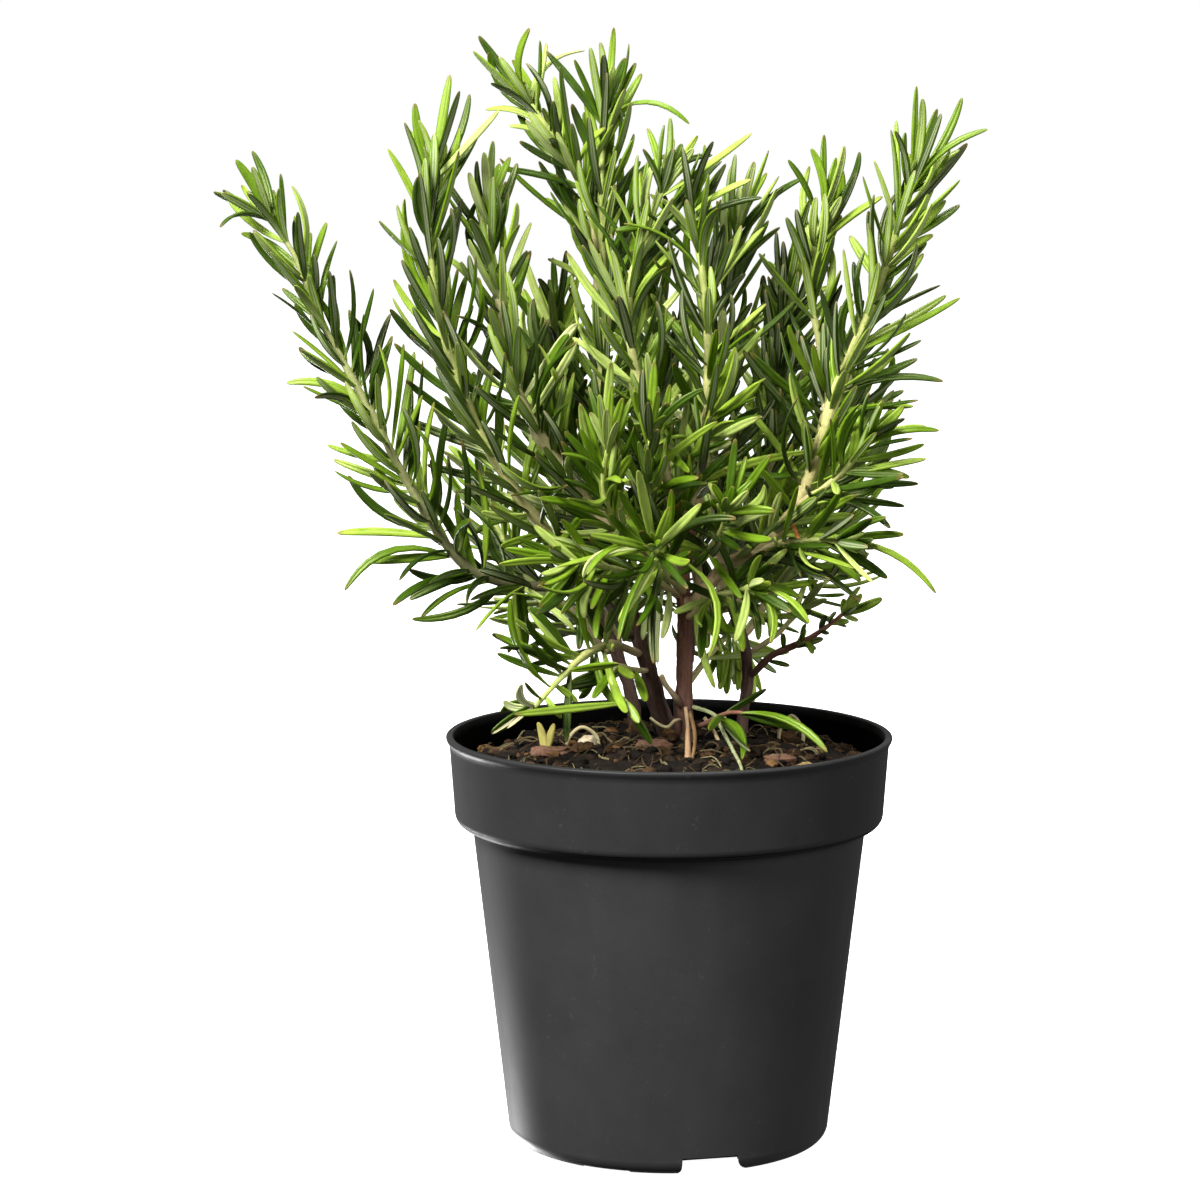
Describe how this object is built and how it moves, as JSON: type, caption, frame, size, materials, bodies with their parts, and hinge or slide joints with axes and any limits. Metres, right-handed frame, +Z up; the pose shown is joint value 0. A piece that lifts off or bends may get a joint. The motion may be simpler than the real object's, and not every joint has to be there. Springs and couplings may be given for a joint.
{
  "type": "potted herb",
  "caption": "Bushy upright rosemary with narrow leaves on forked woody stems, growing in compost in a plain tapered nursery pot with a rim band.",
  "frame": {"origin": "centre of the flat underside of the pot, on the surface that it stands on", "axes": "+Z up through the pot's axis; -Y is the side seen in the picture, towards the viewer; +X is the viewer's right"},
  "size_m": [0.2, 0.1463, 0.297],
  "materials": {
    "pot_plastic": "satin",
    "compost": "matte",
    "bark": "matte",
    "foliage": "satin",
    "bark_chip": "matte",
    "pale_crumb": "matte",
    "dry_leaf": "matte",
    "green_stalk": "satin",
    "dry_fibre": "matte"
  },
  "bodies": {
    "root": {"bark_chip_back": "bark_chip", "bark_chip_centre": "bark_chip", "bark_chip_left": "bark_chip", "bark_chip_right": "bark_chip", "compost": "compost", "dead_twig": "bark", "dry_leaves": "dry_leaf", "dry_stalk": "dry_fibre", "fibre_arch_left": "dry_fibre", "fibre_loop_right": "dry_fibre", "pale_crumb": "pale_crumb", "pot": "pot_plastic", "root_between_trunks": "dry_fibre", "root_front": "dry_fibre", "shoot_at_base": "foliage", "shoot_back": "foliage", "shoot_back_centre": "foliage", "shoot_back_drooping": "foliage", "shoot_back_far_left": "foliage", "shoot_back_left": "foliage", "shoot_back_low": "foliage", "shoot_back_right": "foliage", "shoot_back_right_low": "foliage", "shoot_centre": "foliage", "shoot_centre_left": "foliage", "shoot_drooping": "foliage", "shoot_far_left": "foliage", "shoot_front": "foliage", "shoot_front_centre": "foliage", "shoot_front_left": "foliage", "shoot_front_right": "foliage", "shoot_inner_left": "foliage", "shoot_left": "foliage", "shoot_left_centre": "foliage", "shoot_low_front_left": "foliage", "shoot_low_front_right": "foliage", "shoot_low_left": "foliage", "shoot_right": "foliage", "shoot_right_centre": "foliage", "shoot_right_inner": "foliage", "shoot_right_low": "foliage", "shoot_right_second": "foliage", "shoot_right_side": "foliage", "shoot_side_right": "foliage", "shoot_top": "foliage", "shoot_top_side": "foliage", "sprout_stalk": "green_stalk", "spur_right": "foliage", "spur_right_upper": "foliage", "trunk_back": "bark", "trunk_back_left": "bark", "trunk_centre": "bark", "trunk_left": "bark", "trunk_right": "bark"}
  },
  "joints": []
}
